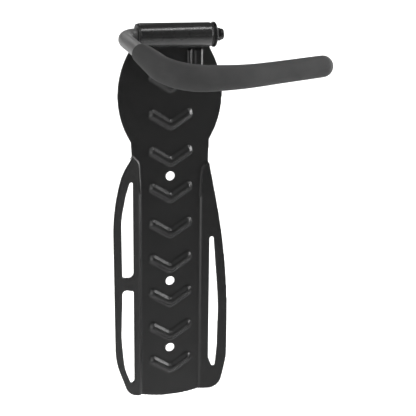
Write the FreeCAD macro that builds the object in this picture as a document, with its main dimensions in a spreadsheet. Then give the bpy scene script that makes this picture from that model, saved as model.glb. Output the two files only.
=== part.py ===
"""Bicycle wall rack: a pressed steel wall plate with a swivelling, rubber-covered hook.

Frame: +Z up, +X to the right of someone facing the rack, the wall behind it at Y = 0 and the
front towards -Y.  The origin is on the wall, directly behind the hook's pivot axis.
Millimetres and degrees throughout.
"""
import FreeCAD, Part
import math
import os
import Sketcher
from FreeCAD import Placement, Rotation, Vector

doc = FreeCAD.newDocument("bicycle_wall_rack")

# ---------------------------------------------------------------- driving dimensions
DIMENSIONS = {
    # pressed sheet
    "sheet_thickness": 2.0,
    "strip_half_width": 22.6,      # centre line to the step at the foot of each wing
    "wing_step": 1.8,              # the step's rise, and its run across the plate
    "wing_angle": 11.5,            # each wing leans forward by this much
    "wing_bend_radius": 0.8,       # on the inside of each fold
    "wing_reach": 47.0,            # half width of the blank before its outline is cut
    "plate_top": 4.0,
    "plate_bottom": 277.5,         # depth of the bottom edge's crown below the pivot axis
    "neck_half_width": 28.7,
    # wall screw holes
    "screw_hole_radius": 3.4,
    "upper_screw_drop": 102.2,
    "middle_screw_drop": 182.5,
    "lower_screw_drop": 236.0,
    # pressed chevrons
    "chevron_count": 9,
    "chevron_pitch": 26.9,
    "first_chevron_drop": 33.7,
    "chevron_height": 2.2,
    "chevron_hollow_depth": 1.5,
    "chevron_wall_slope": 48.0,
    "chevron_wall_offset": 0.8,    # hollow's mouth, inside the raised outline
    "chevron_half_span": 16.4,
    "chevron_band": 8.3,
    "chevron_arm_slope": 32.2,
    # small upright beads pressed under the barrel
    "bead_height": 1.3,
    "bead_top_drop": 10.8,
    "bead_bottom_drop": 25.5,
    # pivot barrel and its bushes
    "barrel_radius": 8.5,
    "barrel_bore_radius": 6.3,
    "barrel_half_length": 26.0,
    "barrel_chamfer": 0.8,
    "weld_leg": 3.0,
    "weld_half_length": 23.0,
    "bush_bore_radius": 5.05,
    "bush_flange_radius": 8.1,
    "bush_flange_thickness": 1.0,
    "bush_length": 15.0,
    # hook rod
    "rod_radius": 5.0,
    "rod_coating_gap": 0.05,       # rubber sleeve's bore stands this far off the rod
    "thread_radius": 2.45,
    "thread_pitch": 0.8,
    "shoulder_x": 27.8,            # where the rod steps down to its thread
    "thread_end_x": 35.5,
    "hook_droop": 15.0,            # hook's plane below the horizontal, at rest
    "elbow_x": 38.5,               # where the pivot line and the side run would meet
    "elbow_radius": 9.0,
    "side_run_angle": 78.0,        # side run, measured from the pivot axis
    "arm_reach": 78.0,             # arm's centre line in front of the pivot axis
    "shoulder_bend_radius": 28.0,
    "tip_bend_x": 23.5,
    "tip_bend_radius": 140.0,
    "tip_angle": 13.0,             # arm's outer part turns back towards the wall
    "rod_tip_x": 82.5,
    # rubber sleeve
    "sleeve_start_reach": 31.0,
    "sleeve_tip_x": 91.7,
    "sleeve_tip_radius": 7.25,
    "sleeve_lip_rounding": 1.2,
    # washers and nut
    "gap": 0.1,
    "friction_washer_radius": 8.1,
    "friction_washer_thickness": 0.7,
    "washer_radius": 8.8,
    "washer_hole_radius": 2.65,
    "washer_thickness": 1.5,
    "nut_across_flats": 8.0,
    "nut_hex_height": 4.4,
    "nut_height": 6.3,
    "nut_collar_radius": 3.9,
    "nut_bore_radius": 2.5,
    "insert_radius": 3.1,
    "insert_thickness": 1.3,
}
sheet = doc.addObject("Spreadsheet::Sheet", "Dimensions")
for row, (alias, value) in enumerate(DIMENSIONS.items(), 1):
    sheet.set(f"A{row}", alias)
    sheet.set(f"B{row}", str(value))
    sheet.setAlias(f"B{row}", alias)
doc.recompute()


def size(alias):
    return float(sheet.get(alias))


def bound(expression):
    """The same expression with every alias written as a cell of the spreadsheet."""
    words = expression.replace("(", " ( ").replace(")", " ) ").split()
    return " ".join("Dimensions." + word if word in DIMENSIONS else word for word in words)


def value_of(expression):
    result = sheet.evalExpression(bound(expression))
    return float(getattr(result, "Value", result))


# ---------------------------------------------------------------- small helpers
def make_body(label):
    body = doc.addObject("PartDesign::Body", label)
    body.Label = label
    return body


def add_sketch(body, name, plane, offset="0"):
    """A sketch on one of the body's own origin planes, moved along the plane's normal."""
    sketch = body.newObject("Sketcher::SketchObject", name)
    support = [item for item in body.Origin.OriginFeatures if item.Role == plane]
    sketch.AttachmentSupport = [(support[0], "")]
    sketch.MapMode = "FlatFace"
    sketch.setExpression("AttachmentOffset.Base.z", bound(offset))
    return sketch


def add_feature(body, kind, name, profile, **settings):
    feature = body.newObject("PartDesign::" + kind, name)
    feature.Profile = profile
    for key, setting in settings.items():
        if key.startswith("by_"):
            feature.setExpression(key[3:], bound(setting))
        else:
            setattr(feature, key, setting)
    return feature


def draw_rounded(sketch, corners):
    """Closed outline of straight lines whose corners (x, y, radius) are rounded."""
    count = len(corners)
    starts, ends, arcs = [], [], []
    for index, (x, y, radius) in enumerate(corners):
        here = Vector(x, y, 0)
        before = Vector(*corners[index - 1][:2], 0) - here
        after = Vector(*corners[(index + 1) % count][:2], 0) - here
        half = before.getAngle(after) / 2
        reach = radius / math.tan(half) if radius else 0.0
        starts.append(here + before.normalize() * reach)
        ends.append(here + after.normalize() * reach)
        middle = here + (before + after).normalize() * (radius / math.sin(half) - radius)
        arcs.append(Part.Arc(starts[-1], middle, ends[-1]) if radius else None)
    for index in range(count):
        if arcs[index]:
            sketch.addGeometry(arcs[index], False)
        sketch.addGeometry(Part.LineSegment(ends[index], starts[(index + 1) % count]), False)


def draw_bound(sketch, corners):
    """Closed polygon whose corner coordinates follow expressions of the spreadsheet."""
    points = [Vector(value_of(x), value_of(y), 0) for x, y in corners]
    count = len(points)
    for index in range(count):
        line = Part.LineSegment(points[index], points[(index + 1) % count])
        sketch.addGeometry(line, False)
    for index in range(count):
        before = index - 1 if index else count - 1
        sketch.addConstraint(Sketcher.Constraint("Coincident", before, 2, index, 1))
    for index, corner in enumerate(corners):
        for kind, axis, expression in (("DistanceX", 2, corner[0]), ("DistanceY", 1, corner[1])):
            if expression == "0":
                rule = Sketcher.Constraint("PointOnObject", index, 1, -axis)
                sketch.addConstraint(rule)
                continue
            number = sketch.addConstraint(
                Sketcher.Constraint(kind, -1, 1, index, 1, value_of(expression)))
            sketch.setExpression(f"Constraints[{number}]", bound(expression))


def turned(label, corners):
    """A part turned about the X axis from a half profile of (along, radius) expressions."""
    body = make_body(label)
    profile = add_sketch(body, label + "_profile", "XY_Plane")
    draw_bound(profile, corners)
    doc.recompute()
    add_feature(body, "Revolution", label + "_turning", profile,
                ReferenceAxis=(profile, ["H_Axis"]), Angle=360.0)
    return body


def mirrored(corners):
    return [(-x, y, radius) for x, y, radius in reversed(corners)]


# ---------------------------------------------------------------- back plate
# Front outline, from the top right corner down the right side; X, Z and corner radius.
NECK = size("neck_half_width")
HEAD_SIDE = [
    (25.8, 3.8, 2.8),
    (29.1, -10.3, 11.3),
    (47.9, -43.4, 62.0),          # the crossing of the two tangents of the head's bowed side
    (NECK + 0.5, -76.1, 1.1),
]
RIGHT_WING = [
    (NECK, -92.1, 9.4),
    (43.4, -169.5, 517.0),
    (43.4, -246.3, 56.4),
    (37.9, -272.4, 11.3),
    (23.5, -272.4, 0.0),
]
LEFT_WING = [
    (-NECK, -86.3, 2.8),
    (-36.7, -97.8, 37.6),
    (-44.2, -122.7, 131.6),
    (-43.5, -240.6, 56.4),
    (-32.7, -271.3, 12.2),
    (-23.5, -271.7, 0.0),
]
BOTTOM_CROWN = (0.0, -size("plate_bottom"), 97.0)
OUTLINE = HEAD_SIDE + RIGHT_WING + [BOTTOM_CROWN] + LEFT_WING[::-1] + mirrored(HEAD_SIDE)

# Where each wing's bend curves in from the neck's edge; the sheet inside these lines is flat.
SHOULDER_RIGHT = [(NECK + 8.0, -91.0, 0.0), (NECK, -93.0, 0.0), (23.7, -96.5, 6.5), (22.6, -118.0, 0.0)]
SHOULDER_LEFT = [(-NECK - 8.0, -83.5, 0.0), (-NECK, -85.5, 0.0), (-23.7, -90.2, 6.5), (-22.6, -112.0, 0.0)]

# Windows cut in the wings: two on the left with a bridge between them, one on the right.
WINDOWS = {
    "upper_left_window": [
        (-28.6, -104.5, 1.1), (-31.0, -104.5, 1.1), (-34.1, -113.7, 28.2), (-37.9, -131.1, 56.4),
        (-37.5, -175.1, 1.4), (-28.6, -176.7, 3.3)],
    "lower_left_window": [
        (-28.6, -187.2, 1.4), (-37.5, -184.7, 2.8), (-38.7, -223.7, 94.0), (-36.3, -247.2, 37.6),
        (-31.2, -260.8, 1.4), (-28.6, -258.5, 0.9)],
    "right_window": [
        (29.7, -149.6, 1.4), (32.7, -149.6, 1.4), (36.8, -202.1, 235.0), (36.1, -237.8, 56.4),
        (34.7, -253.6, 1.2), (32.3, -253.6, 1.2), (29.6, -246.3, 5.6)],
}


def sheet_section():
    """The formed sheet's section: a flat strip, a step up to each wing, and the leaning wing."""
    step, half = size("wing_step"), size("sheet_thickness") / 2
    foot, reach = size("strip_half_width"), size("wing_reach")
    rise = (reach - foot - step) * math.tan(math.radians(size("wing_angle")))
    right = [Vector(foot, -half, 0), Vector(foot + step, -half - step, 0),
             Vector(reach, -half - step - rise, 0)]
    middle = [Vector(-point.x, point.y, 0) for point in right[::-1]] + right
    inside = size("wing_bend_radius")
    faces = {1: [], -1: []}
    for index, point in enumerate(middle):
        before = point - middle[max(index - 1, 0)]
        after = middle[min(index + 1, len(middle) - 1)] - point
        directions = [run.normalize() for run in (before, after) if run.Length]
        normals = [Vector(-run.y, run.x, 0) for run in directions]
        mitre = (normals[0] + normals[-1]).normalize()
        turn = directions[0].cross(directions[-1]).z
        for side, face in faces.items():
            corner = point + mitre * (side * half / mitre.dot(normals[0]))
            radius = inside if side * turn > 0 else inside + 2 * half
            face.append((corner.x, corner.y, radius if abs(turn) > 1e-6 else 0.0))
    return faces[1] + faces[-1][::-1]


def chevron_corners(shrink):
    """One V of the tread, its inner apex at the origin, drawn in from its edge by shrink."""
    slope = math.radians(size("chevron_arm_slope"))
    half_span = size("chevron_half_span") - shrink
    drop = shrink / math.cos(slope)
    rise = half_span * math.tan(slope)
    band = size("chevron_band")
    right = [(half_span - 0.9, rise - drop - 0.6, 2.6 - shrink), (half_span, rise - band + drop, 2.6 - shrink)]
    apex_out = (0.0, -band + drop, 5.0)
    apex_in = (0.0, -drop, 2.0)
    return [apex_in] + right + [apex_out] + mirrored(right)


def move(corners, across, up):
    return [(x + across, y + up, radius) for x, y, radius in corners]


def draw_circle(sketch, drop, radius):
    """A circle on the sketch's upright axis, its drop and radius bound to the spreadsheet."""
    circle = Part.Circle(Vector(0, -size(drop), 0), Vector(0, 0, 1), size(radius))
    index = sketch.addGeometry(circle, False)
    sketch.addConstraint(Sketcher.Constraint("PointOnObject", index, 3, -2))
    rules = (("DistanceY", (-1, 1, index, 3, -size(drop)), "-1 * " + drop),
             ("Radius", (index, size(radius)), radius))
    for kind, arguments, expression in rules:
        number = sketch.addConstraint(Sketcher.Constraint(kind, *arguments))
        sketch.setExpression(f"Constraints[{number}]", bound(expression))


plate = make_body("back_plate")
SECTION_START, SECTION_LENGTH = -285.0, 225.0
INNER_X = 19.0
FLAT_END = -140.0
BLANK_TOP, BLANK_SIDE = 20.0, 60.0

# The formed sheet: one section with a stepped, forward-leaning wing each side, drawn up the plate.
section = add_sketch(plate, "formed_section", "XY_Plane", str(SECTION_START))
draw_rounded(section, sheet_section())
add_feature(plate, "Pad", "formed_sheet", section, Length=SECTION_LENGTH)

# Above the shoulders the wings give way to the flat sheet of the neck and head.
shoulders = add_sketch(plate, "shoulder_outline", "XZ_Plane")
for side, corners in ((1, SHOULDER_RIGHT), (-1, SHOULDER_LEFT)):
    top = [(side * INNER_X, corners[-1][1], 0.0), (side * INNER_X, BLANK_TOP, 0.0),
           (side * (NECK + 8.0), BLANK_TOP, 0.0)]
    draw_rounded(shoulders, corners + top)
add_feature(plate, "Pocket", "shoulder_clearance", shoulders, Type="ThroughAll", Midplane=True)

flat = add_sketch(plate, "flat_outline", "XZ_Plane")
draw_rounded(flat, [(BLANK_SIDE, BLANK_TOP, 0.0), (BLANK_SIDE, -91.0, 0.0)] + SHOULDER_RIGHT
             + [(INNER_X, -118.0, 0.0), (INNER_X, FLAT_END, 0.0),
                (-INNER_X, FLAT_END, 0.0), (-INNER_X, -112.0, 0.0)]
             + SHOULDER_LEFT[::-1] + [(-BLANK_SIDE, -83.5, 0.0), (-BLANK_SIDE, BLANK_TOP, 0.0)])
add_feature(plate, "Pad", "flat_sheet", flat, by_Length="sheet_thickness")

# The step carries on round the shoulders, from the wing's foot to the neck's edge.
SHOULDER_WALL = 2.0
walls = add_sketch(plate, "shoulder_walls", "XZ_Plane")
for side, corners in ((1, SHOULDER_RIGHT), (-1, SHOULDER_LEFT)):
    draw_rounded(walls, corners + [(x + side * SHOULDER_WALL, z - SHOULDER_WALL, radius)
                                   for x, z, radius in corners[::-1]])
add_feature(plate, "Pad", "shoulder_steps", walls, by_Length="sheet_thickness + wing_step")

trim = add_sketch(plate, "trim_outline", "XZ_Plane")
draw_rounded(trim, [(80.0, 40.0, 0.0), (80.0, -320.0, 0.0), (-80.0, -320.0, 0.0), (-80.0, 40.0, 0.0)])
draw_rounded(trim, OUTLINE)
add_feature(plate, "Pocket", "trimming", trim, Type="ThroughAll", Midplane=True)

openings = add_sketch(plate, "window_outlines", "XZ_Plane")
for corners in WINDOWS.values():
    draw_rounded(openings, corners)
add_feature(plate, "Pocket", "windows", openings, Type="ThroughAll", Midplane=True)

# Chevron tread: each V is raised at the front and hollow behind, as a press leaves it.
first_chevron = -size("first_chevron_drop")
raised = add_sketch(plate, "chevron_front", "XZ_Plane", "sheet_thickness")
draw_rounded(raised, move(chevron_corners(0.0), 0.0, first_chevron))
chevron_pad = add_feature(plate, "Pad", "chevron_raised", raised,
                          by_Length="chevron_height", by_TaperAngle="-1 * chevron_wall_slope")
hollow = add_sketch(plate, "chevron_back", "XZ_Plane")
draw_rounded(hollow, move(chevron_corners(size("chevron_wall_offset")), 0.0, first_chevron))
chevron_pocket = add_feature(plate, "Pocket", "chevron_hollow", hollow, Reversed=True,
                             by_Length="chevron_hollow_depth", by_TaperAngle="-1 * chevron_wall_slope")
doc.recompute()
tread = plate.newObject("PartDesign::LinearPattern", "chevron_tread")
tread.Originals = [chevron_pad, chevron_pocket]
tread.Direction = (raised, ["V_Axis"])
tread.Reversed = True
tread.setExpression("Length", bound("chevron_pitch * ( chevron_count - 1 )"))
tread.setExpression("Occurrences", bound("chevron_count"))
plate.Tip = tread

# Two short upright beads pressed into the head under the barrel, right of the middle.
beads = add_sketch(plate, "bead_outlines", "XZ_Plane", "sheet_thickness")
bead_top, bead_bottom = -size("bead_top_drop"), -size("bead_bottom_drop")
for left, right in ((12.5, 15.3), (17.8, 23.2)):
    draw_rounded(beads, [(left, bead_top, 1.2), (right, bead_top, 1.2),
                         (right, bead_bottom, 1.2), (left, bead_bottom, 1.2)])
add_feature(plate, "Pad", "beads", beads, by_Length="bead_height", TaperAngle=-25.0)

screws = add_sketch(plate, "screw_hole_outlines", "XZ_Plane")
for drop in ("upper_screw_drop", "middle_screw_drop", "lower_screw_drop"):
    draw_circle(screws, drop, "screw_hole_radius")
add_feature(plate, "Pocket", "screw_holes", screws, Type="ThroughAll", Midplane=True)
doc.recompute()
plate.Tip = doc.getObject("screw_holes")

# ---------------------------------------------------------------- pivot barrel, welds, bushes
barrel = turned("pivot_barrel", [
    ("barrel_half_length", "barrel_bore_radius"),
    ("barrel_half_length", "barrel_radius - barrel_chamfer"),
    ("barrel_half_length - barrel_chamfer", "barrel_radius"),
    ("barrel_chamfer - barrel_half_length", "barrel_radius"),
    ("-1 * barrel_half_length", "barrel_radius - barrel_chamfer"),
    ("-1 * barrel_half_length", "barrel_bore_radius")])

# Two fillet welds along the barrel's underside, where it stands on the sheet.
axis_depth = size("sheet_thickness") + size("barrel_radius")
weld_half = size("weld_half_length")
leg = size("weld_leg")
front = -size("sheet_thickness")
touch = math.sqrt(size("barrel_radius") ** 2 - (size("barrel_radius") - leg) ** 2)


def weld_bead(start_x, end_x):
    """One bead: a slightly hollow triangle in the corner between the sheet and the barrel."""
    foot = Vector(start_x, front, -touch - 1.6)
    root = Vector(start_x, front, -1.0)
    on_barrel = Vector(start_x, front - leg, -touch)
    inside = Vector(start_x, front - leg * 0.45, -touch - 0.15)
    hollow_face = Part.Arc(foot, inside, on_barrel).toShape()
    closing = [Part.makeLine(on_barrel, root), Part.makeLine(root, foot)]
    face = Part.Face(Part.Wire([hollow_face] + closing))
    bead = face.extrude(Vector(end_x - start_x, 0, 0))
    barrel_start = Vector(-size("barrel_half_length"), -axis_depth, 0.0)
    tube_length = 2 * size("barrel_half_length")
    tube = Part.makeCylinder(size("barrel_radius"), tube_length, barrel_start, Vector(1, 0, 0))
    return bead.cut(tube).Solids


welds = doc.addObject("Part::Feature", "weld_beads")
welds.Label = "weld_beads"
welds.Shape = Part.makeCompound(weld_bead(-weld_half, -4.0) + weld_bead(4.0, weld_half))


def flanged_bush(label, side):
    """A nylon bush pressed into one end of the barrel, its flange against the barrel's end."""
    return turned(label, [
        (f"{side} * ( barrel_half_length - bush_length )", "bush_bore_radius"),
        (f"{side} * ( barrel_half_length - bush_length )", "barrel_bore_radius"),
        (f"{side} * barrel_half_length", "barrel_bore_radius"),
        (f"{side} * barrel_half_length", "bush_flange_radius"),
        (f"{side} * ( barrel_half_length + bush_flange_thickness )", "bush_flange_radius"),
        (f"{side} * ( barrel_half_length + bush_flange_thickness )", "bush_bore_radius")])


left_bush = flanged_bush("left_bush", -1)
right_bush = flanged_bush("right_bush", 1)

# ---------------------------------------------------------------- hook rod and rubber sleeve
def tangent_path(corners):
    """Edges of an open path of straight runs joined by tangent arcs; corners are (x, y, radius)."""
    points = [Vector(x, y, 0) for x, y, radius in corners]
    edges, start = [], points[0]
    for index in range(1, len(points) - 1):
        before = points[index - 1] - points[index]
        after = points[index + 1] - points[index]
        half = before.getAngle(after) / 2
        radius = corners[index][2]
        run_in = points[index] + before.normalize() * (radius / math.tan(half))
        run_out = points[index] + after.normalize() * (radius / math.tan(half))
        middle = points[index] + (before + after).normalize() * (radius / math.sin(half) - radius)
        edges += [Part.LineSegment(start, run_in), Part.Arc(run_in, middle, run_out)]
        start = run_out
    return edges + [Part.LineSegment(start, points[-1])]


def arm_reach_at(x):
    """How far the arm's centre line stands in front of the pivot axis, past the tip bend."""
    return size("arm_reach") - (x - size("tip_bend_x")) * math.tan(math.radians(size("tip_angle")))


def hook_corners(tip_x):
    """The hook's centre line in its own plane: along the pivot axis, out, across and back a little."""
    side_lean = math.tan(math.radians(90.0 - size("side_run_angle")))
    return [
        (size("shoulder_x"), 0.0, 0.0),
        (-size("elbow_x"), 0.0, size("elbow_radius")),
        (-size("elbow_x") + size("arm_reach") * side_lean, -size("arm_reach"), size("shoulder_bend_radius")),
        (size("tip_bend_x"), -size("arm_reach"), size("tip_bend_radius")),
        (tip_x, -arm_reach_at(tip_x), 0.0)]


rod = make_body("hook_rod")
rod_path = add_sketch(rod, "rod_centre_line", "XY_Plane")
for edge in tangent_path(hook_corners(size("rod_tip_x"))):
    rod_path.addGeometry(edge, False)
rod_circle = add_sketch(rod, "rod_section", "YZ_Plane", "shoulder_x")
rod_circle.addGeometry(Part.Circle(Vector(0, 0, 0), Vector(0, 0, 1), size("rod_radius")), False)
rod_circle.addConstraint(Sketcher.Constraint("Coincident", 0, 3, -1, 1))
rod_circle.addConstraint(Sketcher.Constraint("Radius", 0, size("rod_radius")))
rod_circle.setExpression("Constraints[1]", bound("rod_radius"))
doc.recompute()
add_feature(rod, "AdditivePipe", "bent_rod", rod_circle, Spine=rod_path)

thread_profile = add_sketch(rod, "thread_profile", "XY_Plane")
pitch, crest = size("thread_pitch"), size("thread_radius")
groove = crest - 0.6 * pitch
first, last = size("shoulder_x") - 1.0, size("thread_end_x")
turns = int((last - size("shoulder_x") - pitch) / pitch)
profile = [(first, 0.0), (first, groove), (size("shoulder_x") + 0.2, groove)]
for turn in range(turns):
    start = size("shoulder_x") + 0.2 + turn * pitch
    profile += [(start + 0.4 * pitch, crest), (start + 0.6 * pitch, crest), (start + pitch, groove)]
profile += [(last - 0.3, groove), (last, groove - 0.3), (last, 0.0)]
draw_rounded(thread_profile, [(x, y, 0.0) for x, y in profile])
doc.recompute()
add_feature(rod, "Revolution", "thread", thread_profile,
            ReferenceAxis=(thread_profile, ["H_Axis"]), Angle=360.0)


def station(edges, distance):
    """Point and direction on a path at a distance along it."""
    for edge in edges:
        if distance <= edge.Length or edge is edges[-1]:
            parameter = edge.getParameterByLength(distance)
            return edge.valueAt(parameter), edge.tangentAt(parameter)
        distance -= edge.Length


def ring_at(edges, distance, radius):
    """A circle square to a path in the hook's plane, its seam always on the plane's upper side."""
    point, direction = station(edges, distance)
    ring = Part.Wire([Part.makeCircle(radius)])
    ring.Placement = Placement(point, Rotation(Vector(0, 0, 1), Vector(), direction, "ZXY"))
    return ring


# Moulded sleeve: distance along the rod from the sleeve's lip, and outer radius.
SLEEVE_GIRTH = [
    (0.0, 6.6), (8.5, 7.2), (17.0, 7.8), (28.0, 8.3), (39.0, 8.55), (54.0, 8.6), (68.0, 8.3),
    (81.0, 7.9), (96.0, 7.55), (112.0, 7.35), (200.0, 7.25)]


def girth(along):
    for (start, low), (end, high) in zip(SLEEVE_GIRTH, SLEEVE_GIRTH[1:]):
        if along <= end:
            return low + (high - low) * (along - start) / (end - start)


path = [edge.toShape() for edge in tangent_path(hook_corners(size("sleeve_tip_x")))]
side_run = path[2]
side_start = side_run.valueAt(side_run.FirstParameter)
side_slope = abs(side_run.tangentAt(side_run.FirstParameter).y)
lip = path[0].Length + path[1].Length + (size("sleeve_start_reach") + side_start.y) / side_slope
tip_radius = size("sleeve_tip_radius")
dome_start = sum(edge.Length for edge in path) - tip_radius
RING_COUNT = 26
spacing = (dome_start - lip) / (RING_COUNT - 1)
rings = [ring_at(path, lip + turn * spacing, girth(turn * spacing)) for turn in range(RING_COUNT)]
rings[-1] = ring_at(path, dome_start, tip_radius)
skin = Part.makeLoft(rings, True)
lip_edges = [edge for edge in skin.Edges if abs(edge.CenterOfMass.y + size("sleeve_start_reach")) < 0.5
             and len(edge.Vertexes) == 1]
skin = skin.makeFillet(size("sleeve_lip_rounding"), lip_edges)
dome_centre = station(path, dome_start)[0]
dome = Part.makeSphere(tip_radius, dome_centre)
bore_path = [edge.toShape() for edge in tangent_path(hook_corners(size("rod_tip_x") + 0.3))]
bore_radius = size("rod_radius") + size("rod_coating_gap")
bore = Part.Wire(bore_path).makePipeShell([ring_at(bore_path, 0.0, bore_radius)], True, True)
sleeve = doc.addObject("Part::Feature", "hook_sleeve")
sleeve.Label = "hook_sleeve"
sleeve.Shape = skin.fuse(dome).cut(bore)

# ---------------------------------------------------------------- washers and lock nut
flange_end = "barrel_half_length + bush_flange_thickness + gap"
friction_washer = turned("friction_washer", [
    (flange_end, "bush_bore_radius"), (flange_end, "friction_washer_radius"),
    ("shoulder_x", "friction_washer_radius"), ("shoulder_x", "bush_bore_radius")])
washer_end = "shoulder_x + washer_thickness"
flat_washer = turned("flat_washer", [
    ("shoulder_x", "washer_hole_radius"), ("shoulder_x", "washer_radius - 0.3"),
    ("shoulder_x + 0.3", "washer_radius"), (washer_end + " - 0.3", "washer_radius"),
    (washer_end, "washer_radius - 0.3"), (washer_end, "washer_hole_radius")])

nut = make_body("lock_nut")
hexagon = add_sketch(nut, "hexagon", "YZ_Plane", washer_end)
corner = size("nut_across_flats") / math.sqrt(3.0)
draw_rounded(hexagon, [(corner * math.cos(turn * math.pi / 3), corner * math.sin(turn * math.pi / 3), 0.0)
                       for turn in range(6)])
add_feature(nut, "Pad", "hexagon_block", hexagon, by_Length="nut_hex_height")
collar = add_sketch(nut, "collar_profile", "XY_Plane")
nut_face = size("shoulder_x") + size("washer_thickness")
collar_start = nut_face + size("nut_hex_height")
nut_end = nut_face + size("nut_height")
collar_radius = size("nut_collar_radius")
draw_rounded(collar, [(collar_start - 1.0, 0.0, 0.0), (collar_start - 1.0, collar_radius, 0.0),
                      (nut_end, collar_radius, 1.0), (nut_end, 0.0, 0.0)])
doc.recompute()
add_feature(nut, "Revolution", "collar", collar, ReferenceAxis=(collar, ["H_Axis"]), Angle=360.0)

# The hexagon's corners are turned back at both ends.
chamfers = add_sketch(nut, "corner_chamfers", "XY_Plane")
flats = size("nut_across_flats") / 2
for face, inward in ((nut_face, 1), (collar_start, -1)):
    draw_rounded(chamfers, [(face, flats - 0.1, 0.0), (face, corner + 1.0, 0.0),
                            (face + inward * (corner + 1.1 - flats) * 0.6, corner + 1.0, 0.0)][::inward])
doc.recompute()
add_feature(nut, "Groove", "chamfering", chamfers, ReferenceAxis=(chamfers, ["H_Axis"]), Angle=360.0)

insert_start = "shoulder_x + washer_thickness + nut_height - insert_thickness - 0.4"
seat = add_sketch(nut, "bore_and_seat", "XY_Plane")
draw_rounded(seat, [
    (nut_face - 1.0, 0.0, 0.0), (nut_face - 1.0, size("nut_bore_radius"), 0.0),
    (value_of(insert_start) - 0.05, size("nut_bore_radius"), 0.0),
    (value_of(insert_start) - 0.05, size("insert_radius") + 0.05, 0.0),
    (nut_end - 0.35, size("insert_radius") + 0.05, 0.0), (nut_end - 0.35, size("nut_bore_radius") + 0.2, 0.0),
    (nut_end + 1.0, size("nut_bore_radius") + 0.2, 0.0), (nut_end + 1.0, 0.0, 0.0)])
doc.recompute()
add_feature(nut, "Groove", "boring", seat, ReferenceAxis=(seat, ["H_Axis"]), Angle=360.0)

insert = turned("nut_insert", [
    (insert_start, "nut_bore_radius"), (insert_start, "insert_radius"),
    (insert_start + " + insert_thickness", "insert_radius"),
    (insert_start + " + insert_thickness", "nut_bore_radius")])
doc.recompute()

# ---------------------------------------------------------------- placing the parts
PIVOT_PARTS = [barrel, left_bush, right_bush]
HOOK_PARTS = [rod, sleeve, friction_washer, flat_washer, nut, insert]
for part in PIVOT_PARTS + HOOK_PARTS:
    part.setExpression("Placement.Base.y", bound("-1 * ( sheet_thickness + barrel_radius )"))
for part in HOOK_PARTS:
    part.Placement = Placement(Vector(), Rotation(Vector(1, 0, 0), size("hook_droop")))
    part.setExpression("Placement.Rotation.Angle", bound("hook_droop"))
doc.recompute()

# ---------------------------------------------------------------- checking and writing
for item in doc.Objects:
    if "Invalid" in item.State or "Error" in item.State:
        raise RuntimeError(f"{item.Label}: {item.State}")
os.makedirs("parts", exist_ok=True)
for part in [plate, welds] + PIVOT_PARTS + HOOK_PARTS:
    if part.Shape.isNull() or not part.Shape.isValid():
        raise RuntimeError(f"{part.Label}: the shape is empty or invalid")
    part.Shape.exportStep(f"parts/{part.Label}.step")
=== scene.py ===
import math

import bmesh
import bpy
from mathutils import Matrix, Vector


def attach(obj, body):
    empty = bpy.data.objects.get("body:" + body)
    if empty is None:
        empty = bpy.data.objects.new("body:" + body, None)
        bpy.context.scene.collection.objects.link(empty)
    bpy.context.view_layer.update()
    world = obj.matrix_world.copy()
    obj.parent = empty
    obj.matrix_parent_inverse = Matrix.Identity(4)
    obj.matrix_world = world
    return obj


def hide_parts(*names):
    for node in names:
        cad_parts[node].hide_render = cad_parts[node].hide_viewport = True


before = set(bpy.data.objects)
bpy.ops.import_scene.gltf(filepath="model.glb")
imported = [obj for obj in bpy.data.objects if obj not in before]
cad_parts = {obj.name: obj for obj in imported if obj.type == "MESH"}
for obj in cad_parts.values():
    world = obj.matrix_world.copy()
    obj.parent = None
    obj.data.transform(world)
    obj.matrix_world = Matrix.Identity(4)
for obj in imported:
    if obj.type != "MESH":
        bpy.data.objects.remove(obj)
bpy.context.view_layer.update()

MM = 0.001
PIVOT = Vector((0.0, -10.5 * MM, 0.0))          # a point on the hook's axis, which runs along X
HOOK_DROOP = math.radians(15.0)
IN_BARREL = Matrix.Translation(PIVOT) @ Matrix.Scale(MM, 4)
IN_HOOK = Matrix.Translation(PIVOT) @ Matrix.Rotation(HOOK_DROOP, 4, "X") @ Matrix.Scale(MM, 4)


# ---------------------------------------------------------------- materials
def new_material(name, roughness, metallic=0.0, specular=0.5):
    """A material and its shader, with an object-space position to feed the textures."""
    material = bpy.data.materials.new(name)
    material.use_nodes = True
    tree = material.node_tree
    shader = tree.nodes["Principled BSDF"]
    shader.inputs["Metallic"].default_value = metallic
    shader.inputs["Specular IOR Level"].default_value = specular
    shader.inputs["Roughness"].default_value = roughness
    place = tree.nodes.new("ShaderNodeTexCoord").outputs["Object"]
    return material, tree, shader, place


def noise(tree, place, grain, detail=3.0, stretch=None):
    """Noise whose features are about grain millimetres across, finer along stretched axes."""
    if stretch:
        mapping = tree.nodes.new("ShaderNodeMapping")
        mapping.inputs["Scale"].default_value = stretch
        tree.links.new(place, mapping.inputs["Vector"])
        place = mapping.outputs["Vector"]
    texture = tree.nodes.new("ShaderNodeTexNoise")
    texture.inputs["Scale"].default_value = 1.0 / (grain * MM)
    texture.inputs["Detail"].default_value = detail
    tree.links.new(place, texture.inputs["Vector"])
    return texture.outputs["Fac"]


def ramp(tree, factor, *stops):
    """A colour ramp between two (position, colour) stops."""
    node = tree.nodes.new("ShaderNodeValToRGB")
    for element, (position, colour) in zip(node.color_ramp.elements, stops):
        element.position = position
        element.color = (*colour, 1.0)
    tree.links.new(factor, node.inputs["Fac"])
    return node.outputs["Color"]


def grey(value):
    return (value, value, value)


NOISE_LOW, NOISE_HIGH = 0.3, 0.7                 # noise seldom leaves this range


def remap(tree, factor, low, high):
    """Noise stretched to run from low to high."""
    node = tree.nodes.new("ShaderNodeMapRange")
    node.inputs["From Min"].default_value = NOISE_LOW
    node.inputs["From Max"].default_value = NOISE_HIGH
    node.inputs["To Min"].default_value = low
    node.inputs["To Max"].default_value = high
    tree.links.new(factor, node.inputs["Value"])
    return node.outputs["Result"]


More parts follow.
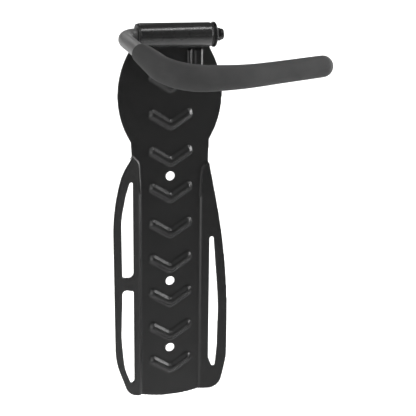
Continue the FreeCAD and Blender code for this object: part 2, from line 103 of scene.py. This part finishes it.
def bump(tree, shader, *layers):
    """Stacks (height, millimetres) layers of relief on a shader."""
    below = None
    for height, depth in layers:
        node = tree.nodes.new("ShaderNodeBump")
        node.inputs["Distance"].default_value = depth * MM
        tree.links.new(height, node.inputs["Height"])
        if below:
            tree.links.new(below, node.inputs["Normal"])
        below = node.outputs["Normal"]
    tree.links.new(below, shader.inputs["Normal"])


# How far across the marks in each finish are, and how deep the steel's draw lines are, in millimetres.
CLOUD_GRAIN, PEEL_GRAIN, GRIT_GRAIN = 22.0, 1.6, 0.35
FLOW_GRAIN = 16.0
PATCH_GRAIN, LINE_GRAIN, LINE_DEPTH = 9.0, 0.5, 0.012


def powder_coat(name, value, roughness, specular, relief):
    """Baked black powder paint: an orange-peel skin with fine grit in it."""
    material, tree, shader, place = new_material(name, roughness, specular=specular)
    cloud = noise(tree, place, CLOUD_GRAIN)
    peel = noise(tree, place, PEEL_GRAIN)
    grit = noise(tree, place, GRIT_GRAIN, detail=1.0)
    colour = ramp(tree, cloud, (0.35, grey(value * 0.85)), (0.65, grey(value * 1.15)))
    tree.links.new(colour, shader.inputs["Base Color"])
    gloss = remap(tree, peel, roughness - 3 * relief, roughness + 5 * relief)
    tree.links.new(gloss, shader.inputs["Roughness"])
    bump(tree, shader, (peel, relief), (grit, relief / 2))
    return material


def moulded(name, value, roughness, grain, relief, specular=0.4):
    """Moulded nylon or rubber: a matt eroded skin with faint flow marks."""
    material, tree, shader, place = new_material(name, roughness, specular=specular)
    flow = noise(tree, place, FLOW_GRAIN, detail=5.0)
    skin = noise(tree, place, grain)
    colour = ramp(tree, flow, (0.3, grey(value * 0.88)), (0.7, grey(value * 1.12)))
    tree.links.new(colour, shader.inputs["Base Color"])
    tree.links.new(remap(tree, flow, roughness - 0.06, roughness + 0.06), shader.inputs["Roughness"])
    bump(tree, shader, (flow, relief * 3), (skin, relief))
    return material


def steel(name, value, roughness, metallic, draw_lines):
    """Drawn or turned steel; draw_lines below 1 stretches the marks along X."""
    material, tree, shader, place = new_material(name, roughness, metallic=metallic)
    patch = noise(tree, place, PATCH_GRAIN)
    lines = noise(tree, place, LINE_GRAIN, stretch=(draw_lines, 1.0, 1.0))
    colour = ramp(tree, patch, (0.3, grey(value * 0.9)), (0.7, grey(value * 1.1)))
    tree.links.new(colour, shader.inputs["Base Color"])
    tree.links.new(remap(tree, patch, roughness - 0.06, roughness + 0.08), shader.inputs["Roughness"])
    bump(tree, shader, (lines, LINE_DEPTH))
    return material


PLATE_COAT = powder_coat("plate_coat", value=0.002, roughness=0.34, specular=0.33, relief=0.015)
BARREL_COAT = powder_coat("barrel_coat", value=0.010, roughness=0.26, specular=0.36, relief=0.0015)
WELD_COAT = powder_coat("weld_coat", value=0.006, roughness=0.40, specular=0.3, relief=0.02)
NYLON = moulded("bush_nylon", value=0.006, roughness=0.6, grain=0.5, relief=0.01)
RUBBER = moulded("sleeve_rubber", value=0.035, roughness=0.85, grain=0.6, relief=0.03, specular=0.08)
BAR_FINISH = steel("bar_finish", value=0.078, roughness=0.45, metallic=0.0, draw_lines=0.15)
FIBRE = moulded("washer_fibre", value=0.004, roughness=0.8, grain=0.3, relief=0.02)
BLACK_STEEL = steel("blackened_steel", value=0.018, roughness=0.38, metallic=1.0, draw_lines=1.0)
INSERT_NYLON = moulded("insert_nylon", value=0.03, roughness=0.5, grain=0.4, relief=0.01)


# ---------------------------------------------------------------- mesh helpers
def add_piece(name, points, faces, place, body, slot, material, node, crease=35.0):
    """A mesh from points in millimetres, carried by a body, standing for a node of the frame."""
    mesh = bpy.data.meshes.new(name)
    mesh.from_pydata([place @ Vector(point) for point in points], [], faces)
    piece = bpy.data.objects.new(name, mesh)
    bpy.context.collection.objects.link(piece)
    finish_piece(piece, body, material, node, crease)
    return piece


def finish_piece(piece, body, material, node, crease):
    work = bmesh.new()
    work.from_mesh(piece.data)
    bmesh.ops.remove_doubles(work, verts=work.verts, dist=0.001 * MM)
    bmesh.ops.recalc_face_normals(work, faces=work.faces)
    work.to_mesh(piece.data)
    work.free()
    piece.data.shade_smooth()
    piece.data.set_sharp_from_angle(angle=math.radians(crease))
    piece.data.materials.append(material)
    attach(piece, body)
    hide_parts(node)


def skin(rings, loop=False):
    """Quads between rings of equal length; loop joins the last ring to the first."""
    count = len(rings[0])
    points = [point for ring in rings for point in ring]
    faces = []
    for ring in range(len(rings) if loop else len(rings) - 1):
        low, high = ring * count, (ring + 1) % len(rings) * count
        faces += [(low + turn, low + (turn + 1) % count, high + (turn + 1) % count, high + turn)
                  for turn in range(count)]
    return points, faces


def soften(corners, steps=5):
    """A closed outline from (x, y, radius) corners, each rounded by its radius."""
    outline = []
    for index, (x, y, radius) in enumerate(corners):
        here = Vector((x, y))
        before = (Vector(corners[index - 1][:2]) - here).normalized()
        after = (Vector(corners[(index + 1) % len(corners)][:2]) - here).normalized()
        if not radius:
            outline.append((x, y))
            continue
        half = before.angle(after) / 2
        centre = here + (before + after).normalized() * radius / math.sin(half)
        first = here + before * radius / math.tan(half) - centre
        last = here + after * radius / math.tan(half) - centre
        sweep = first.angle_signed(last)
        for step in range(steps + 1):
            spoke = Matrix.Rotation(-sweep * step / steps, 2) @ first
            outline.append(tuple(centre + spoke))
    return outline


def turned(profile, sides=96):
    """A ring about the X axis from a closed outline of (along, radius) points."""
    rings = [[(x, r * math.cos(turn * math.tau / sides), r * math.sin(turn * math.tau / sides))
              for turn in range(sides)] for x, r in profile]
    return skin(rings, loop=True)


# ---------------------------------------------------------------- back plate
# The pressed sheet is remeshed finely and relaxed, so its folds, embossed chevrons and sheared
# edges get the small radii that a press leaves.
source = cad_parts["back_plate"]
plate = bpy.data.objects.new("pressed_plate", source.data.copy())
bpy.context.collection.objects.link(plate)
plate.data.materials.clear()
PLATE_VOXEL = 0.5 * MM
for kind, settings in (("WELD", {"merge_threshold": 0.001 * MM}),
                       ("REMESH", {"mode": "VOXEL", "voxel_size": PLATE_VOXEL}),
                       ("SMOOTH", {"factor": 0.5, "iterations": 3})):
    modifier = plate.modifiers.new(kind.lower(), kind)
    for key, setting in settings.items():
        setattr(modifier, key, setting)
shaped = bpy.data.meshes.new_from_object(plate.evaluated_get(bpy.context.evaluated_depsgraph_get()))
plate.modifiers.clear()
plate.data = shaped
finish_piece(plate, "wall_frame", PLATE_COAT, "back_plate", 60.0)

# ---------------------------------------------------------------- barrel, bushes and welds
BARREL_HALF, BARREL_RADIUS, BORE_RADIUS = 26.0, 8.5, 6.3
barrel_profile = soften([
    (-BARREL_HALF, BORE_RADIUS, 0.2), (BARREL_HALF, BORE_RADIUS, 0.2),
    (BARREL_HALF, BARREL_RADIUS, 0.9), (-BARREL_HALF, BARREL_RADIUS, 0.9)])
add_piece("barrel_tube", *turned(barrel_profile), IN_BARREL, "wall_frame",
          "barrel_powder_coat", BARREL_COAT, "pivot_barrel")

BUSH_LENGTH, FLANGE_THICKNESS, FLANGE_RADIUS, BUSH_BORE = 15.0, 1.0, 8.1, 5.05
for name, side in (("left_bush", -1), ("right_bush", 1)):
    inner, outer = side * (BARREL_HALF - BUSH_LENGTH), side * (BARREL_HALF + FLANGE_THICKNESS)
    bush_profile = soften([
        (inner, BUSH_BORE, 0.2), (inner, BORE_RADIUS, 0.3), (side * BARREL_HALF, BORE_RADIUS, 0.0),
        (side * BARREL_HALF, FLANGE_RADIUS, 0.1), (outer, FLANGE_RADIUS, 0.3), (outer, BUSH_BORE, 0.3)])
    add_piece(name + "_moulding", *turned(bush_profile), IN_BARREL, "wall_frame",
              name + "_nylon", NYLON, name)

WELD_ROOT, WELD_HEAD, WELD_FOOT, WELD_RISE = 1.5, 6.4, 9.6, 3.0
WELD_TAPER, RIPPLE_PITCH, RIPPLE_DEPTH = 2.5, 1.3, 0.14
WELD_RUNS, WELD_STEPS = ((-23.0, -4.0), (4.0, 23.0)), 120


def weld_section(x, start, end):
    """The bead's outline across its run: hollow face to the front, swelling at each ripple."""
    taper = min(1.0, (x - start + 0.4) / WELD_TAPER, (end - x + 0.4) / WELD_TAPER)
    swell = taper * (1 - RIPPLE_DEPTH + RIPPLE_DEPTH * abs(math.sin(math.pi * x / RIPPLE_PITCH)))
    ring = [(x, BARREL_RADIUS - 0.1, -WELD_ROOT)]
    for step in range(9):
        angle = math.pi / 2 * step / 8
        depth = BARREL_RADIUS - WELD_RISE * swell * math.sin(angle) * 0.95
        drop = WELD_HEAD + (WELD_FOOT - WELD_HEAD) * swell * math.cos(angle)
        ring.append((x, depth, -drop))
    return ring


weld_points, weld_faces = [], []
for start, end in WELD_RUNS:
    rings = [weld_section(start + (end - start) * step / WELD_STEPS, start, end)
             for step in range(WELD_STEPS + 1)]
    points, faces = skin(rings)
    ends = [tuple(range(len(rings[0]))), tuple(len(points) - 1 - turn for turn in range(len(rings[0])))]
    weld_faces += [tuple(corner + len(weld_points) for corner in face) for face in faces + ends]
    weld_points += points
add_piece("weld_runs", weld_points, weld_faces, IN_BARREL, "wall_frame",
          "weld_powder_coat", WELD_COAT, "weld_beads", crease=70.0)

# ---------------------------------------------------------------- bent bar and sleeve
SHOULDER_X, ELBOW_X, ELBOW_RADIUS = 27.8, 38.5, 9.0
SIDE_ANGLE, ARM_REACH, SHOULDER_BEND = 78.0, 78.0, 28.0
TIP_BEND_X, TIP_BEND, TIP_ANGLE = 23.5, 140.0, 13.0
ROD_TIP_X, SLEEVE_TIP_X, ROD_RADIUS = 82.5, 91.7, 5.0
SLEEVE_START_REACH, SLEEVE_BORE, SLEEVE_TIP_RADIUS = 31.0, 5.05, 7.25
SAMPLE = 0.25


def hook_corners(tip_x):
    """The bar's centre line in the hook's own plane, as (x, y, bend radius)."""
    lean = math.tan(math.radians(90.0 - SIDE_ANGLE))
    tip_reach = ARM_REACH - (tip_x - TIP_BEND_X) * math.tan(math.radians(TIP_ANGLE))
    return [(SHOULDER_X, 0.0, 0.0), (-ELBOW_X, 0.0, ELBOW_RADIUS),
            (-ELBOW_X + ARM_REACH * lean, -ARM_REACH, SHOULDER_BEND),
            (TIP_BEND_X, -ARM_REACH, TIP_BEND), (tip_x, -tip_reach, 0.0)]


def bent_line(tip_x):
    """Evenly spaced points along the bar's centre line."""
    outline = [Vector(point) for point in soften(hook_corners(tip_x), steps=48)]
    line = [outline[0]]
    for start, end in zip(outline, outline[1:]):
        count = max(1, round((end - start).length / SAMPLE))
        line += [start.lerp(end, step / count) for step in range(1, count + 1)]
    return line


def station(line, distance):
    """Point and direction on a line at a distance along it."""
    travelled = 0.0
    for start, end in zip(line, line[1:]):
        run = (end - start).length
        if travelled + run >= distance or end is line[-1]:
            direction = (end - start) / run
            return start + direction * (distance - travelled), direction
        travelled += run


def swept(line, profile, sides=64):
    """Rings square to a line in the hook's plane, at (distance, radius) stations."""
    rings = []
    for distance, radius in profile:
        point, direction = station(line, distance)
        side = Vector((-direction.y, direction.x))
        rings.append([(*(point + side * radius * math.cos(turn * math.tau / sides)),
                       radius * math.sin(turn * math.tau / sides)) for turn in range(sides)])
    return skin(rings)


def length_of(line):
    return sum((end - start).length for start, end in zip(line, line[1:]))


rod_line = bent_line(ROD_TIP_X)
rod_length = length_of(rod_line)
rod_profile = [(0.0, 0.01), (0.0, ROD_RADIUS - 0.5), (0.15, ROD_RADIUS - 0.2), (0.5, ROD_RADIUS)]
rod_profile += [(distance * 2.0, ROD_RADIUS) for distance in range(1, int(rod_length / 2.0))]
rod_profile += [(rod_length - 0.4, ROD_RADIUS), (rod_length, ROD_RADIUS - 0.4), (rod_length, 0.01)]
rod_points, rod_faces = swept(rod_line, rod_profile)

# The helical thread of the bar's stepped-down end.
THREAD_RADIUS, THREAD_PITCH, THREAD_DEPTH, THREAD_SIDES = 2.45, 0.8, 0.45, 48
THREAD_START, THREAD_END, LEAD_IN_LENGTH = SHOULDER_X - 1.0, 35.5, 0.6
thread_rings = []
steps = int((THREAD_END - THREAD_START) / 0.1)
for step in range(steps + 1):
    x = THREAD_START + (THREAD_END - THREAD_START) * step / steps
    lead_in = min(1.0, (THREAD_END - x) / LEAD_IN_LENGTH + 0.15)
    ring = []
    for turn in range(THREAD_SIDES):
        phase = (x / THREAD_PITCH - turn / THREAD_SIDES) % 1.0
        radius = (THREAD_RADIUS - THREAD_DEPTH * abs(2 * phase - 1)) * (0.8 + 0.2 * lead_in)
        angle = turn * math.tau / THREAD_SIDES
        ring.append((x, radius * math.cos(angle), radius * math.sin(angle)))
    thread_rings.append(ring)
thread_points, thread_faces = skin(thread_rings)
thread_faces.append(tuple(len(thread_points) - 1 - turn for turn in range(THREAD_SIDES)))
offset = len(rod_points)
rod_faces += [tuple(corner + offset for corner in face) for face in thread_faces]
add_piece("bent_bar", rod_points + thread_points, rod_faces, IN_HOOK, "hook",
          "rod_finish", BAR_FINISH, "hook_rod", crease=40.0)

# Moulded sleeve: distance from its lip and outer radius.
SLEEVE_GIRTH = [
    (0.0, 6.6), (8.5, 7.2), (17.0, 7.8), (28.0, 8.3), (39.0, 8.55), (54.0, 8.6), (68.0, 8.3),
    (81.0, 7.9), (96.0, 7.55), (112.0, 7.35), (200.0, SLEEVE_TIP_RADIUS)]


def girth(along):
    """The sleeve's outer radius, read off between the listed girths."""
    for (start, low), (end, high) in zip(SLEEVE_GIRTH, SLEEVE_GIRTH[1:]):
        if along <= end:
            share = (along - start) / (end - start)
            return low + (high - low) * share
    return SLEEVE_TIP_RADIUS


sleeve_line = bent_line(SLEEVE_TIP_X)
lip = next(distance * SAMPLE for distance in range(10000)
           if -station(sleeve_line, distance * SAMPLE)[0].y >= SLEEVE_START_REACH)
sleeve_length = length_of(sleeve_line) - lip
dome_start = sleeve_length - SLEEVE_TIP_RADIUS
LIP_ROUND, LIP_RADIUS = 1.2, SLEEVE_GIRTH[0][1]
sleeve_profile = [(3.0, SLEEVE_BORE), (0.0, SLEEVE_BORE)]
for step in range(7):
    angle = math.pi / 2 * step / 6
    sleeve_profile.append((LIP_ROUND - LIP_ROUND * math.cos(angle),
                           LIP_RADIUS - LIP_ROUND + LIP_ROUND * math.sin(angle)))
sleeve_profile += [(along, sum(girth(along + shift) for shift in (-4, -2, 0, 2, 4)) / 5)
                   for along in range(4, int(dome_start) - 1)]
for step in range(13):
    angle = math.pi / 2 * step / 12
    sleeve_profile.append((dome_start + SLEEVE_TIP_RADIUS * math.sin(angle),
                           max(0.01, SLEEVE_TIP_RADIUS * math.cos(angle))))
sleeve_profile = [(lip + along, radius) for along, radius in sleeve_profile]
add_piece("rubber_sleeve", *swept(sleeve_line, sleeve_profile), IN_HOOK, "hook",
          "sleeve_rubber", RUBBER, "hook_sleeve")

# ---------------------------------------------------------------- washers and lock nut
FLANGE_END, WASHER_END = BARREL_HALF + FLANGE_THICKNESS + 0.1, 29.3
friction_profile = soften([(FLANGE_END, 5.05, 0.0), (FLANGE_END, 8.1, 0.2),
                           (SHOULDER_X, 8.1, 0.2), (SHOULDER_X, 5.05, 0.0)])
add_piece("friction_disc", *turned(friction_profile), IN_HOOK, "hook",
          "friction_fibre", FIBRE, "friction_washer")
washer_profile = soften([(SHOULDER_X, 2.65, 0.15), (SHOULDER_X, 8.8, 0.4),
                         (WASHER_END, 8.8, 0.5), (WASHER_END, 2.65, 0.15)])
add_piece("steel_washer", *turned(washer_profile), IN_HOOK, "hook",
          "washer_steel", BLACK_STEEL, "flat_washer")

FLATS, HEX_HEIGHT, NUT_HEIGHT, NUT_SIDES = 4.0, 4.4, 6.3, 120
CORNER = FLATS / math.cos(math.pi / 6)
CORNER_TRIM, FACE_TRIM, CONE_SLOPE = 0.06, 0.15, 1.7
COLLAR_RADIUS, COLLAR_ROUND, NUT_BORE, INSERT_RADIUS = 3.9, 1.0, 2.5, 3.1
LIP_DEPTH, INSERT_DEPTH = 0.35, 1.8


def nut_radius(angle, height):
    """Radius of the hexagon with its corners turned back by a cone at both faces."""
    across = (angle + math.pi / 6) % (math.pi / 3) - math.pi / 6
    flat = FLATS / math.cos(abs(abs(across) - math.pi / 6))
    edge = min(height, HEX_HEIGHT - height)
    return min(flat, CORNER - CORNER_TRIM, FLATS - FACE_TRIM + edge * CONE_SLOPE)


nut_rings = []
for radius, height in ((NUT_BORE, HEX_HEIGHT), (NUT_BORE, 0.3), (NUT_BORE + 0.3, 0.0)):
    nut_rings.append([(radius, height)] * NUT_SIDES)
edge_heights = [step / 10 for step in range(7)]
hex_heights = edge_heights + [HEX_HEIGHT / 2] + [HEX_HEIGHT - height for height in reversed(edge_heights)]
for height in hex_heights:
    nut_rings.append([(nut_radius(turn * math.tau / NUT_SIDES, height), height)
                      for turn in range(NUT_SIDES)])
for step in range(9):
    angle = math.pi / 2 * step / 8
    nut_rings.append([(COLLAR_RADIUS - COLLAR_ROUND + COLLAR_ROUND * math.cos(angle),
                       NUT_HEIGHT - COLLAR_ROUND + COLLAR_ROUND * math.sin(angle))] * NUT_SIDES)
for radius, depth in ((NUT_BORE + 0.2, 0.0), (NUT_BORE + 0.2, LIP_DEPTH),
                      (INSERT_RADIUS + 0.05, LIP_DEPTH), (INSERT_RADIUS + 0.05, INSERT_DEPTH),
                      (NUT_BORE, INSERT_DEPTH)):
    nut_rings.append([(radius, NUT_HEIGHT - depth)] * NUT_SIDES)
nut_rings = [[(WASHER_END + height, radius * math.cos(turn * math.tau / NUT_SIDES),
               radius * math.sin(turn * math.tau / NUT_SIDES))
              for turn, (radius, height) in enumerate(ring)] for ring in nut_rings]
add_piece("hexagon_nut", *skin(nut_rings, loop=True), IN_HOOK, "hook",
          "nut_steel", BLACK_STEEL, "lock_nut", crease=24.0)

insert_start = WASHER_END + NUT_HEIGHT - 1.7
insert_profile = soften([(insert_start, NUT_BORE, 0.15), (insert_start, INSERT_RADIUS, 0.1),
                         (insert_start + 1.3, INSERT_RADIUS, 0.1), (insert_start + 1.3, NUT_BORE, 0.2)])
add_piece("locking_ring", *turned(insert_profile), IN_HOOK, "hook",
          "insert_nylon", INSERT_NYLON, "nut_insert")

# ---------------------------------------------------------------- studio
FLOOR_DEPTH, FLOOR_SIZE = -0.9, 300.0
HORIZON_LIGHT, ROOM_LIGHT = 14.0, 2.0


def soft_panel(name, position, aim, width, height, power):
    data = bpy.data.lights.new(name, "AREA")
    data.shape = "RECTANGLE"
    data.size, data.size_y, data.energy = width, height, power
    panel = bpy.data.objects.new(name, data)
    panel.location = position
    panel.rotation_euler = (Vector(aim) - Vector(position)).to_track_quat("-Z", "Y").to_euler()
    panel.visible_camera = False
    bpy.context.collection.objects.link(panel)


bpy.ops.mesh.primitive_plane_add(size=FLOOR_SIZE, location=(0.0, 0.0, FLOOR_DEPTH))
floor = bpy.context.object
floor.name = "studio_floor"
floor_material, _, floor_shader, _ = new_material("studio_floor_paint", 0.9, specular=0.1)
floor_shader.inputs["Base Color"].default_value = (0.95, 0.95, 0.95, 1.0)
floor.data.materials.append(floor_material)

scene = bpy.context.scene
scene.view_settings.view_transform = "Standard"

# A dim room above a pale horizon.
world = bpy.data.worlds.new("studio")
world.use_nodes = True
room = world.node_tree
heading = room.nodes.new("ShaderNodeSeparateXYZ")
room.links.new(room.nodes.new("ShaderNodeTexCoord").outputs["Generated"], heading.inputs["Vector"])
fade = room.nodes.new("ShaderNodeMapRange")
fade.interpolation_type = "SMOOTHSTEP"
fade.inputs["From Min"].default_value, fade.inputs["From Max"].default_value = 0.0, 0.08
fade.inputs["To Min"].default_value, fade.inputs["To Max"].default_value = HORIZON_LIGHT, ROOM_LIGHT
room.links.new(heading.outputs["Z"], fade.inputs["Value"])
room.links.new(fade.outputs["Result"], room.nodes["Background"].inputs["Strength"])
scene.world = world

# Boxes round the rack: the right one edges the pressed folds, the strip draws the barrel's highlight.
RACK_MIDDLE = (0.0, -0.03, -0.1)
soft_panel("right_box", (1.25, -0.08, 0.12), RACK_MIDDLE, 1.1, 0.9, 58.0)
soft_panel("left_box", (-1.3, -0.45, -0.35), RACK_MIDDLE, 0.6, 0.6, 6.0)
soft_panel("front_left_box", (-1.4, -1.7, 0.6), RACK_MIDDLE, 1.2, 1.2, 16.0)
soft_panel("top_left_box", (-0.62, -0.45, 1.3), RACK_MIDDLE, 1.0, 0.8, 1.5)
soft_panel("overhead_strip", (0.4, -0.62, 1.2), (0.0, -0.02, 0.0), 1.0, 0.15, 12.0)

# Washes that light the floor from just above it, brightly behind the rack and faintly in front.
soft_panel("floor_wash", (3.0, 20.75, 0.15), (3.0, 20.75, FLOOR_DEPTH), 60.0, 40.0, 10700.0)
soft_panel("front_wash", (1.0, -22.5, 0.3), (1.0, -22.5, FLOOR_DEPTH), 60.0, 40.0, 300.0)

# Small fills for the sleeve's side run and the left wing.
soft_panel("left_box_high", (-1.4, -0.4, 0.9), RACK_MIDDLE, 1.0, 1.0, 14.0)
soft_panel("right_box_low", (1.0, -1.1, -0.5), (0.0, -0.03, -0.15), 0.5, 0.5, 0.6)

SUN_TRAVEL = Vector((0.1, -0.6, -0.8))
sun_data = bpy.data.lights.new("back_sun", "SUN")
sun_data.energy, sun_data.angle = 0.6, math.radians(30.0)
sun = bpy.data.objects.new("back_sun", sun_data)
sun.rotation_euler = SUN_TRAVEL.to_track_quat("-Z", "Y").to_euler()
bpy.context.collection.objects.link(sun)

# ---------------------------------------------------------------- camera
CAMERA_PLACE = Vector((-195.6, -681.7, 64.4)) * MM
AZIMUTH, ELEVATION, ROLL = math.radians(-18.28), math.radians(15.06), math.radians(-0.69)
back = Vector((math.sin(AZIMUTH) * math.cos(ELEVATION), -math.cos(AZIMUTH) * math.cos(ELEVATION),
               math.sin(ELEVATION)))
level_right = Vector((math.cos(AZIMUTH), math.sin(AZIMUTH), 0.0))
level_up = back.cross(level_right)
right = level_right * math.cos(ROLL) - level_up * math.sin(ROLL)
up = level_right * math.sin(ROLL) + level_up * math.cos(ROLL)
lens = bpy.data.cameras.new("camera")
lens.sensor_width = 36.0
lens.lens = 86.54
camera = bpy.data.objects.new("camera", lens)
camera.matrix_world = Matrix.Translation(CAMERA_PLACE) @ Matrix((right, up, back)).transposed().to_4x4()
bpy.context.collection.objects.link(camera)
scene.camera = camera
